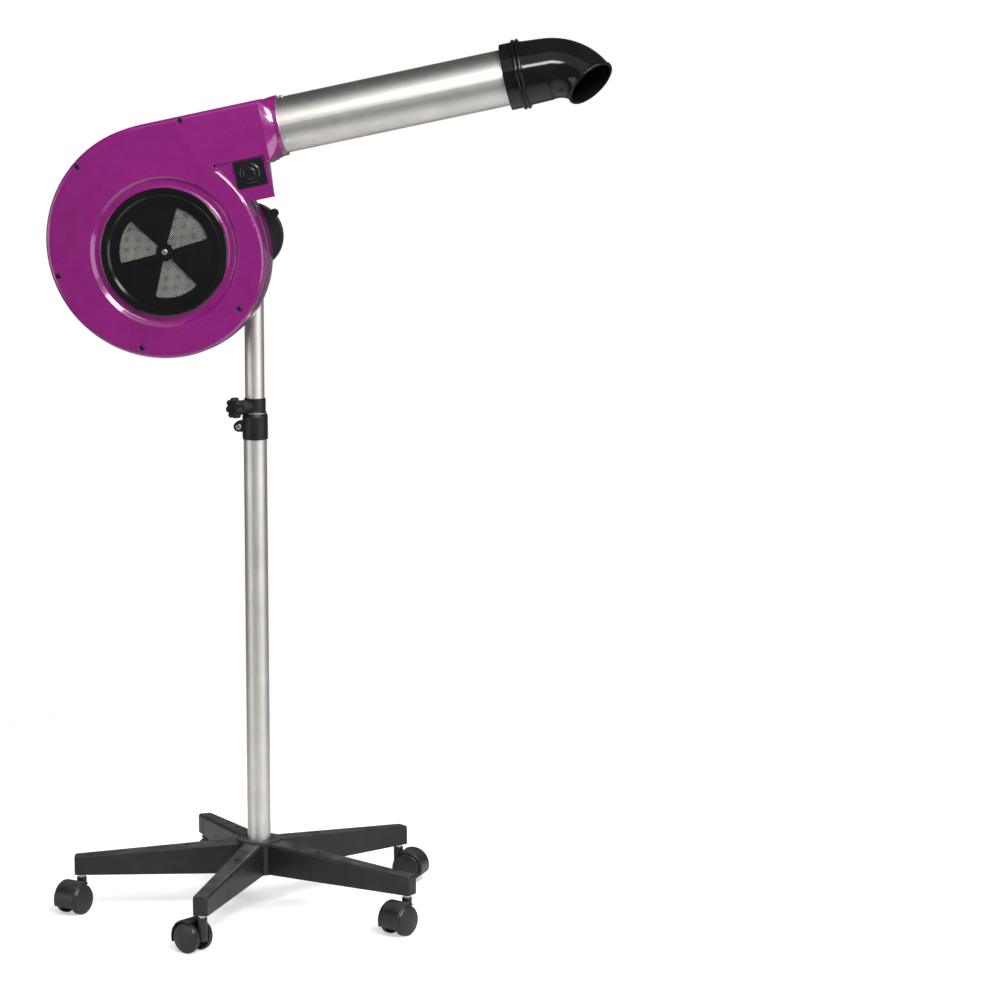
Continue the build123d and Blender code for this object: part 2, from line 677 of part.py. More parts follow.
with BuildPart() as front_shell:
    add(casing(0))
    with BuildSketch(head):
        add(volute_profile(-seam_lip))
    extrude(amount=seam_lip_half)
    split(bisect_by=head, keep=Keep.TOP)
    # Switch block between the spiral and the outlet
    add(block_volume(0, 100, outlet_bottom + 2, 0, block_face))
    add(casing(shell_wall), mode=Mode.SUBTRACT)
    add(block_volume(shell_wall, 110, outlet_bottom - 2.5, 2.5, block_face - 2.5), mode=Mode.SUBTRACT)
    # Ledge that carries the switch plate on past the block, with its backing inside
    with BuildSketch(head.offset(block_face - 3)):
        with Locations(((ledge_right + 112) / 2, (ledge_top + outlet_bottom) / 2)):
            Rectangle(ledge_right - 112 + 6, ledge_top - outlet_bottom + 6)
    extrude(amount=4)
    with BuildSketch(head.offset(block_face)):
        with Locations(((ledge_right + 100) / 2, (ledge_top + outlet_bottom - 4) / 2)):
            Rectangle(ledge_right - 100, ledge_top - outlet_bottom + 4)
        with Locations(tongue_centre_uv):
            Circle(tongue_radius + 0.5, mode=Mode.SUBTRACT)
    extrude(amount=5, mode=Mode.SUBTRACT)
    # Screw bosses and the backing of the sunken channel
    add(screw_bosses(half_depth))
    with BuildSketch(head.offset(half_depth - 9)):
        Circle(123)
        Circle(inlet_hole_radius + 1, mode=Mode.SUBTRACT)
    extrude(amount=7)
    # Inlet hole and the sunken channel round it
    with BuildSketch(head):
        Circle(inlet_hole_radius)
    extrude(amount=half_depth + 1, mode=Mode.SUBTRACT)
    with BuildSketch(Plane(origin=head.origin, x_dir=head.x_dir, z_dir=-head.y_dir)) as channel:
        with BuildLine():
            Polyline((102.6, half_depth + 2), (102.6, half_depth - 4.5), (113, half_depth - 4.5),
                     (119.5, half_depth + 0.01), (119.5, half_depth + 2), close=True)
        make_face()
        fillet(channel.vertices().group_by(Axis.Y)[0], 2.5)
    revolve(axis=Axis(head.origin, head.z_dir), mode=Mode.SUBTRACT)
    # Screw clearance holes with their sunken seats, and the switch bush hole
    with BuildSketch(head):
        with Locations(*boss_uv):
            Circle(2.05)
    extrude(amount=half_depth + 1, mode=Mode.SUBTRACT)
    with BuildSketch(head.offset(screw_seat)):
        with Locations(*boss_uv):
            Circle(4.5)
    extrude(amount=3, mode=Mode.SUBTRACT)
    with BuildSketch(head.offset(block_face - 5)):
        with Locations((switch_u, switch_v)):
            Circle(7.05)
    extrude(amount=10, mode=Mode.SUBTRACT)
front_shell.part.label = "front_shell"
export_step(front_shell.part, "parts/front_shell.step")

with BuildPart() as rear_shell:
    add(casing(0))
    with BuildSketch(head):
        add(volute_profile(-seam_lip))
    extrude(amount=-seam_lip_half)
    split(bisect_by=head, keep=Keep.BOTTOM)
    add(casing(shell_wall), mode=Mode.SUBTRACT)
    add(screw_bosses(-half_depth))
    with BuildSketch(head):
        with Locations(*boss_uv):
            Circle(1.95)
    extrude(amount=-20, mode=Mode.SUBTRACT)
    # Holes for the motor nose, motor screws, hinge screws and cover screws
    with BuildSketch(head.offset(-half_depth + shell_wall + 1)):
        Circle(14.05)
        with PolarLocations(30, 4, 45):
            Circle(2.05)
        with Locations(hinge_uv):
            with PolarLocations(30, 3, 60):
                Circle(2.55)
        with PolarLocations(61, 3, 60):
            Circle(1.55)
    extrude(amount=-shell_wall - 2, mode=Mode.SUBTRACT)
rear_shell.part.label = "rear_shell"
export_step(rear_shell.part, "parts/rear_shell.step")

with BuildPart() as shell_screws:
    for uv in boss_uv:
        with BuildSketch(head.offset(screw_seat)):
            with Locations(uv):
                Circle(4.2)
        extrude(amount=2)
        with BuildSketch(head.offset(screw_seat)):
            with Locations(uv):
                Circle(1.9)
        extrude(amount=-screw_seat - 14)
    fillet(shell_screws.edges().filter_by(GeomType.CIRCLE).group_by(Axis.Y)[0], 1.2)
    with BuildSketch(head.offset(screw_seat + 2)):
        with Locations(*boss_uv):
            Rectangle(0.9, 5)
            Rectangle(5, 0.9)
    extrude(amount=-1.2, mode=Mode.SUBTRACT)
shell_screws.part.label = "shell_screws"
export_step(shell_screws.part, "parts/shell_screws.step")

# ---- intake ------------------------------------------------------------------------------------


def head_revolve_plane():
    """Half-plane through the fan axis: sketch x is the radius and y the depth towards the intake."""
    return Plane(origin=head.origin, x_dir=head.x_dir, z_dir=-head.y_dir)


ring_seat, ring_face = half_depth, half_depth + 4
grille_back, grille_front = 48.0, 50.5

with BuildPart() as inlet_ring:
    with BuildSketch(head_revolve_plane()):
        with BuildLine():
            Polyline((86.5, 43), (90, 43), (90, ring_seat), (ring_outer_radius, ring_seat),
                     (ring_outer_radius, ring_face - 2), (ring_outer_radius - 2, ring_face),
                     (91.5, ring_face), (88, ring_face - 3.5), (88, grille_back), (86.5, grille_back), close=True)
        make_face()
    revolve(axis=Axis(head.origin, head.z_dir))
    with BuildSketch(head.offset(ring_seat)):
        for angle in (52, 142, 232, 322):
            add(sector_profile(ring_outer_radius - 5, ring_outer_radius + 0.4, angle - 2.4, angle + 2.4))
    extrude(amount=5.2)
inlet_ring.part.label = "inlet_ring"
export_step(inlet_ring.part, "parts/inlet_ring.step")

with BuildPart() as inlet_grille:
    with BuildSketch(head.offset(grille_back)):
        Circle(grille_radius)
    extrude(amount=grille_front - grille_back)
    with BuildSketch(head.offset(grille_back)):
        Circle(grille_radius)
        Circle(79, mode=Mode.SUBTRACT)
    extrude(amount=4)
    with BuildSketch(head.offset(grille_back)):
        for angle in petal_angles:
            add(sector_profile(petal_inner, petal_outer, angle - petal_half_angle, angle + petal_half_angle))
    extrude(amount=6, mode=Mode.SUBTRACT)
    petal_corners = inlet_grille.edges().filter_by(Axis.Y).filter_by(
        lambda edge: abs((edge.center() - head.origin).cross(head.z_dir).length - petal_outer) < 1)
    fillet(petal_corners, 3)
    with BuildSketch(head.offset(grille_back)):
        Circle(2.55)
    extrude(amount=6, mode=Mode.SUBTRACT)
inlet_grille.part.label = "inlet_grille"
export_step(inlet_grille.part, "parts/inlet_grille.step")

with BuildPart() as inlet_mesh:
    with BuildSketch(head.offset(grille_back - 1)):
        Circle(86.3)
        Circle(2.55, mode=Mode.SUBTRACT)
    extrude(amount=0.95)
inlet_mesh.part.label = "inlet_mesh"
export_step(inlet_mesh.part, "parts/inlet_mesh.step")

with BuildPart() as grille_screw:
    with BuildSketch(head.offset(grille_front)):
        Circle(4.6)
    extrude(amount=2.4)
    fillet(grille_screw.edges().sort_by(Axis.Y)[0], 1.4)
    with BuildSketch(head.offset(grille_front + 2.4)):
        Rectangle(0.9, 5.5)
        Rectangle(5.5, 0.9)
    extrude(amount=-1.3, mode=Mode.SUBTRACT)
    with BuildSketch(head.offset(grille_front)):
        Circle(2.5)
    extrude(amount=-9)
grille_screw.part.label = "grille_screw"
export_step(grille_screw.part, "parts/grille_screw.step")

with BuildPart() as grille_nut:
    with BuildSketch(head.offset(grille_back - 5)):
        RegularPolygon(4.6, 6)
        Circle(2.52, mode=Mode.SUBTRACT)
    extrude(amount=3.9)
grille_nut.part.label = "grille_nut"
export_step(grille_nut.part, "parts/grille_nut.step")

# ---- fan and motor -----------------------------------------------------------------------------

backplate_depth, fan_front_depth = -34.0, 28.0

with BuildPart() as impeller:
    with BuildSketch(head.offset(backplate_depth)):
        Circle(impeller_radius)
    extrude(amount=2)
    with BuildSketch(head.offset(fan_front_depth)):
        Circle(impeller_radius)
        Circle(blade_inner_radius, mode=Mode.SUBTRACT)
    extrude(amount=2)
    with BuildSketch(head.offset(backplate_depth + 1)):
        with PolarLocations((impeller_radius + blade_inner_radius) / 2, blade_count):
            Rectangle(impeller_radius - blade_inner_radius - 2, 1.6, rotation=28)
    extrude(amount=fan_front_depth - backplate_depth)
    with BuildSketch(head.offset(backplate_depth - 6)):
        Circle(14)
    extrude(amount=30)
    with BuildSketch(head.offset(backplate_depth - 7)):
        Circle(shaft_radius + 0.02)
    extrude(amount=40, mode=Mode.SUBTRACT)
impeller.part.label = "impeller"
export_step(impeller.part, "parts/impeller.step")

motor_rear = 95.0

with BuildPart() as motor_shaft:
    with BuildSketch(head.offset(-motor_rear + 2)):
        Circle(shaft_radius)
    extrude(amount=motor_rear - 2 + backplate_depth + 26)
motor_shaft.part.label = "motor_shaft"
export_step(motor_shaft.part, "parts/motor_shaft.step")

with BuildPart() as motor:
    with BuildSketch(head.offset(-motor_rear)):
        Circle(motor_radius)
    extrude(amount=motor_rear - half_depth)
    fillet(motor.edges().sort_by(Axis.Y)[-1], 5)
    with BuildSketch(head.offset(-half_depth)):
        Circle(14)
    extrude(amount=6)
    with BuildSketch(head.offset(-motor_rear + 1)):
        Circle(shaft_radius + running_gap)
    extrude(amount=motor_rear, mode=Mode.SUBTRACT)
    with BuildSketch(head.offset(-half_depth)):
        with PolarLocations(30, 4, 45):
            Circle(2.05)
    extrude(amount=-13, mode=Mode.SUBTRACT)
motor.part.label = "motor"
export_step(motor.part, "parts/motor.step")

with BuildPart() as motor_screws:
    with BuildSketch(head.offset(-half_depth + shell_wall)):
        with PolarLocations(30, 4, 45):
            Circle(3.8)
    extrude(amount=2.2)
    with BuildSketch(head.offset(-half_depth + shell_wall)):
        with PolarLocations(30, 4, 45):
            Circle(2)
    extrude(amount=-shell_wall - 12)
motor_screws.part.label = "motor_screws"
export_step(motor_screws.part, "parts/motor_screws.step")

cover_rear = 104.0
gland_angle = 225.0
gland_depth = -82.0
gland_out = head.x_dir * cos(radians(gland_angle)) + head.y_dir * sin(radians(gland_angle))


def gland_plane(radius):
    """Plane square to the cable gland at a radius from the fan axis."""
    return Plane(origin=head_point(0, 0, gland_depth) + gland_out * radius, x_dir=head.z_dir, z_dir=gland_out)


with BuildPart() as motor_cover:
    with BuildSketch(head.offset(-cover_rear)):
        Circle(cover_radius)
    extrude(amount=cover_rear - half_depth)
    fillet(motor_cover.edges().sort_by(Axis.Y)[-1], 8)
    with BuildSketch(head.offset(-half_depth - 3)):
        Circle(65)
    extrude(amount=3)
    with BuildSketch(head.offset(-cover_rear + 2.5)):
        Circle(cover_radius - 2.5)
    extrude(amount=cover_rear - half_depth, mode=Mode.SUBTRACT)
    # Cooling slots in the end and round the side
    with BuildSketch(head.offset(-cover_rear)):
        with PolarLocations(30, 12):
            SlotOverall(26, 4.5)
    extrude(amount=4, mode=Mode.SUBTRACT)
    with BuildSketch(head.offset(-half_depth - 3)):
        with PolarLocations(61, 3, 60):
            Circle(1.55)
    extrude(amount=4, mode=Mode.SUBTRACT)
    with BuildSketch(gland_plane(cover_radius - 8)):
        Circle(6.05)
    extrude(amount=16, mode=Mode.SUBTRACT)
motor_cover.part.label = "motor_cover"
export_step(motor_cover.part, "parts/motor_cover.step")

with BuildPart() as cover_screws:
    with BuildSketch(head.offset(-half_depth - 3)):
        with PolarLocations(61, 3, 60):
            Circle(2.9)
    extrude(amount=-2)
    with BuildSketch(head.offset(-half_depth - 3)):
        with PolarLocations(61, 3, 60):
            Circle(1.5)
    extrude(amount=shell_wall + 5)
cover_screws.part.label = "cover_screws"
export_step(cover_screws.part, "parts/cover_screws.step")

with BuildPart() as cable_gland:
    with BuildSketch(gland_plane(cover_radius - 6)):
        Circle(6)
    extrude(amount=8)
    with BuildSketch(gland_plane(cover_radius + 0.2)):
        RegularPolygon(10, 6)
    extrude(amount=5)
    with BuildSketch(gland_plane(cover_radius + 5)):
        Circle(8)
    extrude(amount=15)
    fillet(cable_gland.edges().filter_by(GeomType.CIRCLE).sort_by(Axis(origin=head.origin, direction=gland_out))[-1], 2)
    with BuildSketch(gland_plane(cover_radius - 7)):
        Circle(3.75)
    extrude(amount=30, mode=Mode.SUBTRACT)
cable_gland.part.label = "cable_gland"
export_step(cable_gland.part, "parts/cable_gland.step")

# ---- switch ------------------------------------------------------------------------------------

plate_face = block_face + 2.2

with BuildPart() as switch_plate:
    with BuildSketch(head.offset(block_face)):
        with Locations((switch_u, switch_v)):
            RectangleRounded(49, 43, 3)
            Circle(7.05, mode=Mode.SUBTRACT)
    extrude(amount=plate_face - block_face)
switch_plate.part.label = "switch_plate"
export_step(switch_plate.part, "parts/switch_plate.step")

with BuildPart() as switch_body:
    with BuildSketch(head.offset(18)):
        with Locations((switch_u + 3, switch_v - 15.5)):
            Rectangle(34, 42)
    extrude(amount=block_face - 2.5 - 18)
    with BuildSketch(head.offset(block_face - 2.6)):
        with Locations((switch_u, switch_v)):
            Circle(7)
    extrude(amount=plate_face - block_face + 2.6)
    with BuildSketch(head.offset(26)):
        with Locations((switch_u, switch_v)):
            Circle(3 + running_gap)
    extrude(amount=30, mode=Mode.SUBTRACT)
switch_body.part.label = "switch_body"
export_step(switch_body.part, "parts/switch_body.step")

with BuildPart() as switch_knob:
    with BuildSketch(head.offset(plate_face + 0.4)):
        with Locations((switch_u, switch_v)):
            Circle(16.5)
    extrude(amount=5)
    fillet(switch_knob.edges().sort_by(Axis.Y)[0], 2)
    with BuildSketch(head.offset(plate_face + 4)):
        with Locations((switch_u, switch_v)):
            Circle(10)
    extrude(amount=8)
    fillet(switch_knob.edges().sort_by(Axis.Y)[0], 2)
    with BuildSketch(head.offset(plate_face + 11)):
        with Locations((switch_u, switch_v)):
            Rectangle(2.4, 17)
    extrude(amount=1.6)
    with BuildSketch(head.offset(28)):
        with Locations((switch_u, switch_v)):
            Circle(3)
    extrude(amount=plate_face + 2 - 28)
switch_knob.part.label = "switch_knob"
export_step(switch_knob.part, "parts/switch_knob.step")

# ---- outlet tube and heater --------------------------------------------------------------------

duct_screw_angles = (88.0, 208.0, 328.0)


def duct_radial_plane(u, angle, radius):
    """Plane facing outwards from the outlet axis; the angle is measured from the intake side upwards."""
    out = Vector(0, -1, 0) * cos(radians(angle)) + head.y_dir * sin(radians(angle))
    return Plane(origin=head_point(u, duct_v) + out * radius, x_dir=duct_dir, z_dir=out)


with BuildPart() as duct_tube:
    with BuildSketch(duct_plane(duct_start)):
        Circle(duct_radius)
        Circle(duct_radius - duct_wall, mode=Mode.SUBTRACT)
    extrude(amount=duct_end - duct_start)
    for angle in duct_screw_angles:
        with BuildSketch(duct_radial_plane(duct_screw_u, angle, duct_radius - 4)):
            Circle(1.6)
        extrude(amount=8, mode=Mode.SUBTRACT)
duct_tube.part.label = "duct_tube"
export_step(duct_tube.part, "parts/duct_tube.step")

with BuildPart() as duct_screws:
    for angle in duct_screw_angles:
        with BuildSketch(duct_radial_plane(duct_screw_u, angle, duct_radius)):
            Circle(3.4)
        extrude(amount=2.4)
        with BuildSketch(duct_radial_plane(duct_screw_u, angle, duct_radius - 6)):
            Circle(1.5)
        extrude(amount=7)
duct_screws.part.label = "duct_screws"
export_step(duct_screws.part, "parts/duct_screws.step")

heater_start, heater_end = 224.0, 400.0
heater_ring_outer, heater_ring_inner = duct_radius - duct_wall - 0.05, 37.0
heater_plate_half = 33.0

with BuildPart() as heater_frame:
    for u in (heater_start, heater_end - 9):
        with BuildSketch(duct_plane(u)):
            Circle(heater_ring_outer)
            Circle(heater_ring_inner, mode=Mode.SUBTRACT)
            Rectangle(1.5, 2 * heater_ring_inner + 2)
            Rectangle(2 * heater_ring_inner + 2, 1.5)
        extrude(amount=9)
    with BuildSketch(duct_plane(heater_start)):
        Rectangle(1.5, 2 * heater_plate_half)
        Rectangle(2 * heater_plate_half, 1.5)
    extrude(amount=heater_end - heater_start)
    for angle in duct_screw_angles:
        with BuildSketch(duct_radial_plane(duct_screw_u, angle, heater_ring_inner - 1)):
            Circle(1.55)
        extrude(amount=10, mode=Mode.SUBTRACT)
heater_frame.part.label = "heater_frame"
export_step(heater_frame.part, "parts/heater_frame.step")

with BuildPart() as heater_coils:
    for step in range(8):
        coil_centre = head_point(heater_start + 24 + 18 * step, duct_v)
        coil_section = Plane(origin=coil_centre, x_dir=(0, -1, 0), z_dir=head.y_dir)
        with BuildSketch(coil_section):
            with Locations((heater_plate_half + 1.25, 0)):
                Circle(1.2)
        revolve(axis=Axis(coil_centre, duct_dir))
heater_coils.part.label = "heater_coils"
export_step(heater_coils.part, "parts/heater_coils.step")

# ---- nozzle ------------------------------------------------------------------------------------

turn = radians(nozzle_turn)
nozzle_down = head.y_dir * -cos(turn) + Vector(0, -1, 0) * sin(turn)
nozzle_start = head_point(sleeve_start, duct_v)


def sleeve_plane(distance):
    """Plane square to the nozzle's straight sleeve."""
    return Plane(origin=nozzle_start + duct_dir * distance, x_dir=nozzle_down, z_dir=duct_dir)


def bend_plane(angle):
    """Plane square to the nozzle's bend."""
    a = radians(angle)
    centre = nozzle_start + duct_dir * (bend_start + bend_radius * sin(a))
    centre = centre + nozzle_down * (bend_drop + bend_radius * (1 - cos(a)))
    ahead = duct_dir * cos(a) + nozzle_down * sin(a)
    return Plane(origin=centre, x_dir=nozzle_down * cos(a) - duct_dir * sin(a), z_dir=ahead)


def nozzle_body(inset, start):
    """Slightly offset taper, bend and short lip of the nozzle, inset from the outside."""
    with BuildPart() as body:
        with BuildSketch(sleeve_plane(start)):
            Circle(sleeve_radius - 1.5 - inset)
        with BuildSketch(bend_plane(0)):
            Circle(throat_radius - inset)
        loft()
        with BuildLine() as centre_line:
            ThreePointArc(bend_plane(0).origin, bend_plane(bend_angle / 2).origin, bend_plane(bend_angle).origin)
        with BuildSketch(bend_plane(0)):
            Circle(throat_radius - inset)
        with BuildSketch(bend_plane(bend_angle)):
            Circle(mouth_radius - inset)
        sweep(path=centre_line.wire(), multisection=True)
        with BuildSketch(bend_plane(bend_angle)):
            Circle(mouth_radius - inset)
        extrude(amount=lip_length + (0 if inset == 0 else 1))
    return body.part


with BuildPart() as mouth_rim:
    with BuildSketch(bend_plane(bend_angle).offset(lip_length - 4)):
        Circle(mouth_radius + 1.8)
    extrude(amount=4)
    fillet(mouth_rim.edges(), 1.5)

with BuildPart() as elbow_nozzle:
    with BuildSketch(sleeve_plane(0)):
        Circle(sleeve_radius)
    extrude(amount=sleeve_length)
    for bead_start in (19, 25.5):
        with BuildSketch(sleeve_plane(bead_start)):
            Circle(bead_radius)
        extrude(amount=5)
    fillet(elbow_nozzle.edges().filter_by(GeomType.CIRCLE).filter_by(
        lambda edge: abs(edge.radius - bead_radius) < 0.01), 2.2)
    add(nozzle_body(0, sleeve_length - 2))
    add(mouth_rim.part)
    with BuildSketch(sleeve_plane(0)):
        Circle(sleeve_radius - nozzle_wall)
    extrude(amount=sleeve_length - 1, mode=Mode.SUBTRACT)
    add(nozzle_body(nozzle_wall, sleeve_length - 2), mode=Mode.SUBTRACT)
elbow_nozzle.part.label = "elbow_nozzle"
export_step(elbow_nozzle.part, "parts/elbow_nozzle.step")

with BuildPart() as nozzle_bush:
    with BuildSketch(sleeve_plane(0.8)):
        Circle(sleeve_radius - nozzle_wall - 0.05)
        Circle(duct_radius + running_gap, mode=Mode.SUBTRACT)
    extrude(amount=bush_length)
nozzle_bush.part.label = "nozzle_bush"
export_step(nozzle_bush.part, "parts/nozzle_bush.step")
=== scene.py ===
import json
from math import cos, pi, radians, sin, sqrt

import bpy
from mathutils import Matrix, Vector

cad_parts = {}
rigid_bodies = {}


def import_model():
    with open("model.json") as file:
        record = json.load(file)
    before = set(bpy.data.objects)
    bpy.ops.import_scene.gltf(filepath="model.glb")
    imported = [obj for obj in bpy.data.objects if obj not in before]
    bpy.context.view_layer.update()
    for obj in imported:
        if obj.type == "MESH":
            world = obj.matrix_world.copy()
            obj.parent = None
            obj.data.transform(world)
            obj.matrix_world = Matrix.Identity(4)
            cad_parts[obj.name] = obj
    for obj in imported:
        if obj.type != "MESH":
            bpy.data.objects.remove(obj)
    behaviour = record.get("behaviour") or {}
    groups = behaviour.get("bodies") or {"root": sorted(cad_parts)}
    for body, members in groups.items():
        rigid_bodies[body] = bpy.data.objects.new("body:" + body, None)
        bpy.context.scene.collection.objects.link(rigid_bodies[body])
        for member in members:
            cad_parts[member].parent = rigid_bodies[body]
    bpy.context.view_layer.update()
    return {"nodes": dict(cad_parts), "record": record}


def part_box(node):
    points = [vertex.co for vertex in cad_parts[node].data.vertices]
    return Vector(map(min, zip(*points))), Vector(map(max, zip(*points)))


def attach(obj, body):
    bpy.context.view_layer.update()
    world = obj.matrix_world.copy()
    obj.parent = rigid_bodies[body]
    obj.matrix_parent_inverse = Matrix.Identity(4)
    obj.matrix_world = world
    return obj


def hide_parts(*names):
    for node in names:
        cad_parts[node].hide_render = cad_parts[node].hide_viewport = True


for stray in list(bpy.data.objects):
    bpy.data.objects.remove(stray)
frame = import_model()
scene = bpy.context.scene

# ---- the dryer head's own frame -----------------------------------------------------------------

HEAD_TILT = radians(12.0)
HEAD_ORIGIN = Vector((-0.1205, -0.0945, 1.104))
ALONG = Vector((cos(HEAD_TILT), 0.0, sin(HEAD_TILT)))
ACROSS = Vector((-sin(HEAD_TILT), 0.0, cos(HEAD_TILT)))
FRONT = Vector((0.0, -1.0, 0.0))


def head_point(along, across, depth):
    """Row-frame point for head coordinates in metres; depth runs from the seam towards the intake."""
    return HEAD_ORIGIN + ALONG * along + ACROSS * across + FRONT * depth


# ---- material nodes -----------------------------------------------------------------------------

# Socket numbers of a Mix node that mixes colours
MIX_FACTOR, MIX_A, MIX_B, MIX_RESULT = 0, 6, 7, 2
RANGE_SOCKETS = ("From Min", "From Max", "To Min", "To Max")


class Finish:
    """A Principled material with short ways to feed its sockets."""

    def __init__(self, name, **values):
        self.material = bpy.data.materials.new(name)
        self.material.use_nodes = True
        self.tree = self.material.node_tree
        self.shader = self.tree.nodes["Principled BSDF"]
        self.place = self.node("TexCoord").outputs["Object"]
        self.shape_normal = None
        for socket, value in values.items():
            self.set(socket.replace("_", " "), value)

    def set(self, socket, value):
        self.feed(self.shader.inputs[socket], value)

    def feed(self, socket, value):
        if isinstance(value, bpy.types.NodeSocket):
            self.tree.links.new(value, socket)
        elif hasattr(value, "__len__") and len(value) == 3 and len(socket.default_value) == 4:
            socket.default_value = (*value, 1.0)
        else:
            socket.default_value = value

    def node(self, kind, settings=None, **inputs):
        made = self.tree.nodes.new("ShaderNode" + kind)
        for key, value in (settings or {}).items():
            setattr(made, key, value)
        for key, value in inputs.items():
            self.feed(made.inputs[key.replace("_", " ")], value)
        return made

    def math(self, operation, a, b):
        made = self.node("Math", {"operation": operation})
        self.feed(made.inputs[0], a)
        self.feed(made.inputs[1], b)
        return made.outputs[0]

    def turned(self, angle_about_y):
        """The piece's own coordinates, turned about Y so that x runs along a tilted axis."""
        return self.node("Mapping", {"vector_type": "POINT"}, Vector=self.place,
                         Rotation=(0.0, angle_about_y, 0.0)).outputs[0]

    def noise(self, scale, detail=3.0, roughness=0.55, stretch=(1.0, 1.0, 1.0), place=None, shift=0.0):
        """Noise of about 0 to 1; scale is per metre, and stretch multiplies it on each axis."""
        spread = self.node("VectorMath", {"operation": "MULTIPLY_ADD"})
        self.feed(spread.inputs[0], place or self.place)
        self.feed(spread.inputs[1], stretch)
        self.feed(spread.inputs[2], (shift, shift, shift))
        return self.node("TexNoise", Vector=spread.outputs[0], Scale=scale, Detail=detail,
                         Roughness=roughness).outputs[0]

    def spread(self, value, low, high, to_low=0.0, to_high=1.0):
        """Stretches low to high onto to_low to to_high, held at the ends."""
        made = self.node("MapRange", Value=value)
        for socket, number in zip(RANGE_SOCKETS, (low, high, to_low, to_high)):
            made.inputs[socket].default_value = number
        return made.outputs[0]

    def mix(self, factor, a, b):
        made = self.node("Mix", {"data_type": "RGBA"})
        self.feed(made.inputs[MIX_FACTOR], factor)
        self.feed(made.inputs[MIX_A], a)
        self.feed(made.inputs[MIX_B], b)
        return made.outputs[MIX_RESULT]

    def facing_up(self):
        """1 where the surface faces up and 0 where it stands or faces down."""
        parts = self.node("SeparateXYZ", Vector=self.node("NewGeometry").outputs["Normal"])
        return self.spread(parts.outputs[2], 0.55, 0.95)

    def bump(self, height, depth, strength=1.0):
        """Adds relief of a depth in metres on top of any already there."""
        made = self.node("Bump", Height=height, Distance=depth, Strength=strength)
        if self.shape_normal is not None:
            self.feed(made.inputs["Normal"], self.shape_normal)
        self.shape_normal = made.outputs[0]
        self.set("Normal", self.shape_normal)


def moulded(name, dark, light, rough, grain_scale, grain_depth, dust_and_top_light=0.0, dust_and_top_light_tone=(0.3, 0.29, 0.28),
            **values):
    """Injection-moulded plastic: flow mottling, an eroded grain, faint scuffs, and dust mixed with painted
    top light that pales its upward faces.
    """
    finish = Finish(name, **values)
    flow = finish.spread(finish.noise(14.0, 4.0), 0.3, 0.7)
    tone = finish.mix(flow, dark, light)
    scuffs = finish.noise(60.0, 6.0, 0.7, stretch=(1.0, 1.0, 0.35), shift=3.0)
    # Upward faces are mixed towards a paler tone, partly settled dust and partly painted light falling from
    # above
    if dust_and_top_light > 0.0:
        patches = finish.spread(finish.noise(35.0, 5.0, 0.7, shift=7.0), 0.3, 0.75)
        dust_and_top_light_cover = finish.math("MULTIPLY", finish.math("MULTIPLY", finish.facing_up(), patches), dust_and_top_light)
        tone = finish.mix(dust_and_top_light_cover, tone, dust_and_top_light_tone)
    finish.set("Base Color", tone)
    finish.set("Roughness", finish.spread(scuffs, 0.56, 0.74, *rough))
    finish.bump(finish.noise(grain_scale, 2.0, 0.6), grain_depth)
    return finish


def metal(name, dark, light, rough, line_scale, line_stretch, line_depth, axis_turn=0.0, **values):
    """Bare or plated metal: fine tool or drawing lines along one axis, cloudy tone, uneven polish."""
    finish = Finish(name, Metallic=1.0, **values)
    place = finish.turned(axis_turn) if axis_turn else finish.place
    cloud = finish.spread(finish.noise(22.0, 4.0, place=place), 0.3, 0.7)
    lines = finish.noise(line_scale, 4.0, 0.65, stretch=line_stretch, place=place)
    tone = finish.mix(cloud, dark, light)
    finish.set("Base Color", finish.mix(finish.spread(lines, 0.35, 0.7, 0.0, 0.35), tone, dark))
    finish.set("Roughness", finish.spread(lines, 0.3, 0.7, *rough))
    finish.bump(lines, line_depth)
    return finish


def housing_finish():
    """Deep magenta-purple moulding with a gloss coat, an orange-peel surface and slow colour drift."""
    finish = Finish("housing_gloss", Coat_Weight=1.0, Coat_Roughness=0.09, Coat_IOR=1.65)
    drift = finish.spread(finish.noise(8.0, 4.0), 0.3, 0.7)
    mottle = finish.spread(finish.noise(190.0, 3.0, 0.6, shift=5.0), 0.3, 0.75, 0.0, 0.6)
    tone = finish.mix(drift, (0.178, 0.0042, 0.124), (0.248, 0.0065, 0.178))
    finish.set("Base Color", finish.mix(mottle, tone, (0.165, 0.0055, 0.138)))
    finish.set("Roughness", finish.spread(finish.noise(40.0, 5.0, 0.65, shift=2.0), 0.35, 0.75, 0.24, 0.36))
    rounded = finish.node("Bevel", {"samples": 6}, Radius=0.0018)
    finish.shape_normal = rounded.outputs[0]
    finish.bump(finish.noise(210.0, 2.0, 0.5), 0.00028)
    finish.bump(finish.noise(950.0, 2.0, 0.5, shift=4.0), 0.00002)
    return finish


def board_finish():
    """Mica board: thin pressed flakes in pale brown."""
    finish = Finish("mica_board", Roughness=0.5)
    cells = finish.node("TexVoronoi", Vector=finish.place, Scale=420.0)
    finish.set("Base Color", finish.mix(cells.outputs[0], (0.42, 0.33, 0.21), (0.70, 0.62, 0.47)))
    finish.bump(cells.outputs[0], 0.0001)
    return finish


# How much finer the tool lines run on each axis
ALONG_DUCT = (22.0, 1.0, 1.0)
ALONG_POLE = (1.0, 1.0, 0.02)
EVENLY = (1.0, 1.0, 1.0)

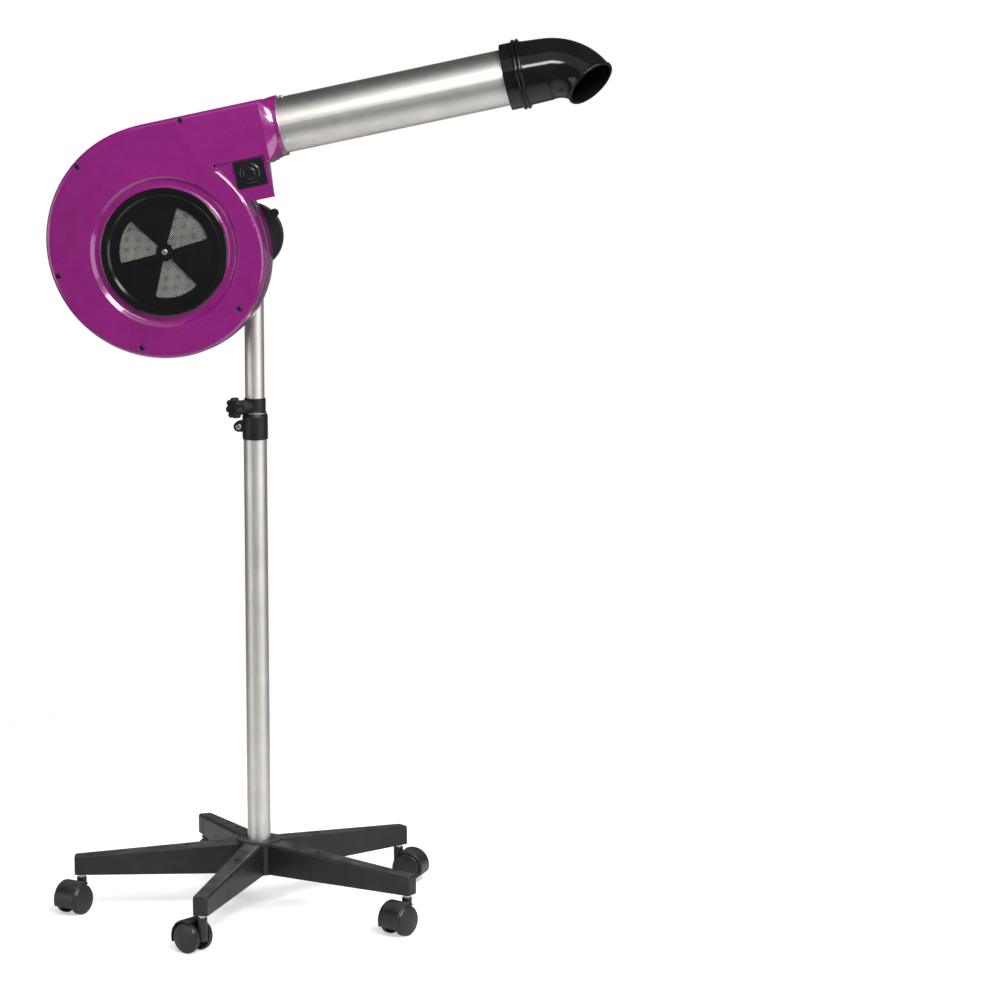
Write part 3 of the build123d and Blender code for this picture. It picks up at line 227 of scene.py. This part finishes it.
FINISHES = {
    # The paler tops of the base legs are painted top light together with dust
    "base_nylon": moulded(
        "base_nylon", dark=(0.012, 0.0115, 0.0115), light=(0.021, 0.020, 0.0195), rough=(0.40, 0.58),
        grain_scale=1700.0, grain_depth=0.00008, dust_and_top_light=0.75, dust_and_top_light_tone=(0.15, 0.145, 0.14),
        Specular_IOR_Level=0.35),
    # The caster tops are paled the same way, with dust and painted top light
    "caster_plastic": moulded(
        "caster_plastic", dark=(0.011, 0.011, 0.011), light=(0.019, 0.0185, 0.018), rough=(0.32, 0.48),
        grain_scale=1500.0, grain_depth=0.00004, dust_and_top_light=0.25, Specular_IOR_Level=0.4),
    "clamp_plastic": moulded(
        "clamp_black", dark=(0.006, 0.006, 0.007), light=(0.010, 0.010, 0.011), rough=(0.42, 0.55),
        grain_scale=1300.0, grain_depth=0.00004, Specular_IOR_Level=0.35),
    "intake_plastic": moulded(
        "intake_black", dark=(0.0045, 0.0045, 0.005), light=(0.0075, 0.0075, 0.008), rough=(0.20, 0.32),
        grain_scale=1100.0, grain_depth=0.00003, Specular_IOR_Level=0.35, Coat_Weight=0.15,
        Coat_Roughness=0.10),
    "switch_plastic": moulded(
        "switch_black", dark=(0.006, 0.006, 0.008), light=(0.011, 0.011, 0.014), rough=(0.20, 0.32),
        grain_scale=1600.0, grain_depth=0.00003, Specular_IOR_Level=0.4, Coat_Weight=0.9,
        Coat_Roughness=0.10),
    "nozzle_plastic": moulded(
        "nozzle_gloss", dark=(0.0045, 0.0045, 0.005), light=(0.008, 0.008, 0.009), rough=(0.13, 0.20),
        grain_scale=420.0, grain_depth=0.00002, Specular_IOR_Level=0.1, Coat_Weight=0.55,
        Coat_Roughness=0.09),
    "bush_plastic": moulded(
        "acetal", dark=(0.50, 0.50, 0.47), light=(0.62, 0.61, 0.58), rough=(0.35, 0.5),
        grain_scale=900.0, grain_depth=0.00003),
    "pole_aluminium": metal(
        "pole_satin", dark=(0.66, 0.65, 0.635), light=(0.80, 0.79, 0.775), rough=(0.40, 0.50),
        line_scale=900.0, line_stretch=ALONG_POLE, line_depth=0.00003),
    "duct_aluminium": metal(
        "duct_satin", dark=(0.66, 0.65, 0.63), light=(0.80, 0.79, 0.77), rough=(0.38, 0.50),
        line_scale=60.0, line_stretch=ALONG_DUCT, line_depth=0.00003, axis_turn=HEAD_TILT),
    "zinc_steel": metal(
        "zinc", dark=(0.55, 0.55, 0.53), light=(0.78, 0.78, 0.77), rough=(0.22, 0.38),
        line_scale=800.0, line_stretch=EVENLY, line_depth=0.00002),
    "dark_screws": metal(
        "black_oxide", dark=(0.030, 0.032, 0.050), light=(0.065, 0.068, 0.095), rough=(0.30, 0.48),
        line_scale=900.0, line_stretch=EVENLY, line_depth=0.00003),
    "intake_mesh": metal(
        "mesh_wire", dark=(0.46, 0.455, 0.445), light=(0.62, 0.615, 0.60), rough=(0.30, 0.45),
        line_scale=700.0, line_stretch=EVENLY, line_depth=0.00001),
    "motor_metal": metal(
        "motor_casting", dark=(0.16, 0.16, 0.17), light=(0.27, 0.27, 0.28), rough=(0.42, 0.62),
        line_scale=500.0, line_stretch=EVENLY, line_depth=0.00012),
    "heater_wire": metal(
        "nichrome", dark=(0.30, 0.27, 0.24), light=(0.48, 0.44, 0.40), rough=(0.30, 0.45),
        line_scale=900.0, line_stretch=EVENLY, line_depth=0.00001),
    "housing_plastic": housing_finish(),
    "heater_board": board_finish(),
}

# ---- CAD nodes take their finishes --------------------------------------------------------------

for part in frame["record"]["subparts"]:
    node = frame["nodes"][part["node"]]
    finish = FINISHES[part["material_slot"]].material
    if not node.material_slots:
        node.data.materials.append(None)
    for held in node.material_slots:
        held.link = "OBJECT"
        held.material = finish

# ---- intake wire cloth --------------------------------------------------------------------------


CLOTH_RADIUS, CLOTH_PITCH, CLOTH_TURN = 0.0858, 0.0025, radians(33.0)
WIRE_RADIUS, WIRE_SIDES = 0.00028, 6
CRIMP = 0.7 * WIRE_RADIUS  # how far a wire rises and sinks to pass the others


def woven_disc(name, depth):
    """Plain-weave wire cloth cut to a disc: each wire passes over and under those that cross it."""
    vertices, faces = [], []
    count = int(CLOTH_RADIUS / CLOTH_PITCH)
    for heading in (CLOTH_TURN, CLOTH_TURN + pi / 2):
        run_axis = ALONG * cos(heading) + ACROSS * sin(heading)
        side_axis = ACROSS * cos(heading) - ALONG * sin(heading)
        for wire in range(-count, count):
            offset = (wire + 0.5) * CLOTH_PITCH
            reach = int(sqrt(CLOTH_RADIUS ** 2 - offset ** 2) / (CLOTH_PITCH / 2))
            first = len(vertices)
            for step in range(-reach, reach + 1):
                run = step * CLOTH_PITCH / 2
                lift = CRIMP * cos(pi * (run / CLOTH_PITCH - 0.5 + wire))
                centre = head_point(0.0, 0.0, depth + lift) + run_axis * run + side_axis * offset
                for side in range(WIRE_SIDES):
                    angle = 2 * pi * side / WIRE_SIDES
                    vertices.append(centre + (side_axis * cos(angle) + FRONT * sin(angle)) * WIRE_RADIUS)
            last = len(vertices) - WIRE_SIDES
            for ring in range(first, last, WIRE_SIDES):
                following = ring + WIRE_SIDES
                for side in range(WIRE_SIDES):
                    beside = (side + 1) % WIRE_SIDES
                    faces.append((ring + side, ring + beside, following + beside, following + side))
            faces.append(tuple(first + side for side in reversed(range(WIRE_SIDES))))
            faces.append(tuple(last + side for side in range(WIRE_SIDES)))
    mesh = bpy.data.meshes.new(name)
    mesh.from_pydata(vertices, [], faces)
    mesh.validate()
    for face in mesh.polygons:
        face.use_smooth = len(face.vertices) == 4  # the round wire, not its cut ends
    cloth = bpy.data.objects.new(name, mesh)
    scene.collection.objects.link(cloth)
    return cloth


cloth_low, cloth_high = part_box("inlet_mesh")
cloth_depth = HEAD_ORIGIN.y - (cloth_low.y + cloth_high.y) / 2
wire_cloth = woven_disc("intake_wire_cloth", cloth_depth)
wire_cloth.data.materials.append(FINISHES["intake_mesh"].material)
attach(wire_cloth, "blower")
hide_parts("inlet_mesh")

# ---- floor, studio and camera -------------------------------------------------------------------

FLOOR_RADIUS, FLOOR_SIDES = 2.0, 96
FLOOR_DROP = 0.0002  # below the wheels, so that the two don't share a plane
FADE_START, FADE_END = 0.8, 1.8
PAPER_GLOW = 0.50

floor_mesh = bpy.data.meshes.new("studio_floor")
rim_angles = [2 * pi * k / FLOOR_SIDES for k in range(FLOOR_SIDES)]
rim = [(FLOOR_RADIUS * cos(angle), FLOOR_RADIUS * sin(angle), -FLOOR_DROP) for angle in rim_angles]
floor_mesh.from_pydata(rim, [], [tuple(range(FLOOR_SIDES))])
floor = bpy.data.objects.new("studio_floor", floor_mesh)
scene.collection.objects.link(floor)

# White paper that glows a little for the camera, so that its shadows stay faint, and fades out into the
# white backdrop
paper = Finish("studio_paper", Roughness=0.9, Specular_IOR_Level=0.1, Emission_Color=(1.0, 1.0, 1.0))
seen_directly = paper.node("LightPath").outputs["Is Camera Ray"]
paper.set("Emission Strength", paper.math("MULTIPLY", seen_directly, PAPER_GLOW))
paper.set("Base Color", paper.mix(paper.noise(5.0, 2.0), (0.80, 0.80, 0.80), (0.83, 0.83, 0.83)))
distance = paper.node("VectorMath", {"operation": "LENGTH"})
paper.feed(distance.inputs[0], paper.place)
paper.set("Alpha", paper.spread(distance.outputs["Value"], FADE_START, FADE_END, 1.0, 0.0))
floor_mesh.materials.append(paper.material)

# The room is grey behind the object, darker in front and overhead, and white where the camera sees it
world = bpy.data.worlds.new("studio_room")
world.use_nodes = True
scene.world = world
room = world.node_tree


def room_node(kind, **inputs):
    made = room.nodes.new("ShaderNode" + kind)
    for key, value in inputs.items():
        socket = made.inputs[key.replace("_", " ")]
        if isinstance(value, bpy.types.NodeSocket):
            room.links.new(value, socket)
        else:
            socket.default_value = value
    return made


direction = room_node("SeparateXYZ", Vector=room_node("TexCoord").outputs["Generated"])
height_tone = room_node("MapRange", Value=direction.outputs["Z"], From_Min=0.0, From_Max=0.55, To_Min=0.30,
                        To_Max=0.045)
side_tone = room_node("MapRange", Value=direction.outputs["Y"], From_Min=-0.5, From_Max=0.3, To_Min=0.30,
                      To_Max=0.5)
room_tone = room.nodes.new("ShaderNodeMath")
room_tone.operation = "MULTIPLY"
room.links.new(height_tone.outputs[0], room_tone.inputs[0])
room.links.new(side_tone.outputs[0], room_tone.inputs[1])
unseen = room_node("Background", Color=(0.98, 0.99, 1.0, 1.0), Strength=room_tone.outputs[0])
seen = room_node("Background", Color=(1.0, 1.0, 1.0, 1.0), Strength=1.0)
choice = room_node("MixShader", Fac=room_node("LightPath").outputs["Is Camera Ray"])
room.links.new(unseen.outputs[0], choice.inputs[1])
room.links.new(seen.outputs[0], choice.inputs[2])
output = next(n for n in room.nodes if n.type == "OUTPUT_WORLD")
room.links.new(choice.outputs[0], output.inputs["Surface"])


def softbox(name, centre, aim, width, height, radiance, mirrored=True):
    """Rectangular studio light that faces a point; one that isn't mirrored only lights matt surfaces."""
    light = bpy.data.lights.new(name, "AREA")
    light.shape = "RECTANGLE"
    light.size, light.size_y = width, height
    light.energy = radiance * pi * width * height
    light.color = (1.0, 0.985, 0.96)
    lamp = bpy.data.objects.new(name, light)
    lamp.location = centre
    lamp.rotation_euler = (Vector(aim) - Vector(centre)).to_track_quat("-Z", "Y").to_euler()
    lamp.visible_camera = False
    lamp.visible_glossy = mirrored
    scene.collection.objects.link(lamp)


HEAD_HEIGHT, MIDDLE_HEIGHT, LOW_HEIGHT = 1.2, 1.0, 0.5
softbox("key_strip", (1.15, -3.3, 3.0), (0.0, 0.0, 1.3), 2.6, 0.6, 22.0)
softbox("front_sky", (0.3, -2.1, 3.5), (0.2, 0.0, HEAD_HEIGHT), 3.6, 1.8, 0.55)
softbox("rim_strip", (2.1, -1.5, 3.3), (0.0, 0.0, HEAD_HEIGHT), 2.4, 1.0, 10.0)
softbox("left_card", (-2.9, -2.1, 1.0), (0.0, 0.0, MIDDLE_HEIGHT), 2.6, 2.2, 1.7)
softbox("right_card", (3.1, -1.6, 1.1), (0.0, 0.0, MIDDLE_HEIGHT), 3.2, 2.2, 1.9)
softbox("top_soft", (0.0, 0.2, 3.6), (0.0, 0.0, LOW_HEIGHT), 2.4, 2.4, 2.4, mirrored=False)

CAMERA_PLACE = (0.840, -5.622, 1.486)
LOOKS_DOWN, LOOKS_LEFT = radians(8.02), radians(4.45)
camera_data = bpy.data.cameras.new("camera")
camera_data.lens = 125.4
camera_data.sensor_width = 36.0
camera_data.clip_start, camera_data.clip_end = 0.1, 60.0
camera = bpy.data.objects.new("camera", camera_data)
camera.location = CAMERA_PLACE
camera.rotation_euler = (pi / 2 - LOOKS_DOWN, 0.0, LOOKS_LEFT)
scene.collection.objects.link(camera)
scene.camera = camera
scene.view_settings.view_transform = "Standard"
